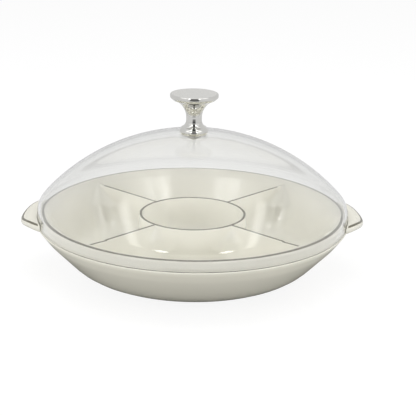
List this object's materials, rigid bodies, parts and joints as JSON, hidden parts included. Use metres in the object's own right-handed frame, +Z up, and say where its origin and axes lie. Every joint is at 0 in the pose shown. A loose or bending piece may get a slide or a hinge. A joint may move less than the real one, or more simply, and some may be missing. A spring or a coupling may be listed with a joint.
{
  "type": "covered serving tray",
  "caption": "Round divided porcelain serving dish with two lug handles and a clear dome cover lifted by a turned metal knob.",
  "frame": {"origin": "centre of the dish's foot, on the surface it stands on", "axes": "+X along the line through the two handles, +Y towards the back of the dish, +Z up through the knob"},
  "size_m": [0.3, 0.271, 0.16],
  "materials": {
    "glazed_porcelain": "warm white gloss glaze with thin painted silver lines on the rim, the walls and the handles",
    "clear_acrylic": "clear, polished",
    "polished_metal": "mirror polish",
    "plated_screw": "bright plated",
    "washer_plastic": "translucent, smooth"
  },
  "bodies": {
    "root": {"dish": "glazed_porcelain", "dome_cover": "clear_acrylic", "knob": "polished_metal", "knob_screw": "plated_screw", "screw_washer": "washer_plastic"}
  },
  "joints": []
}
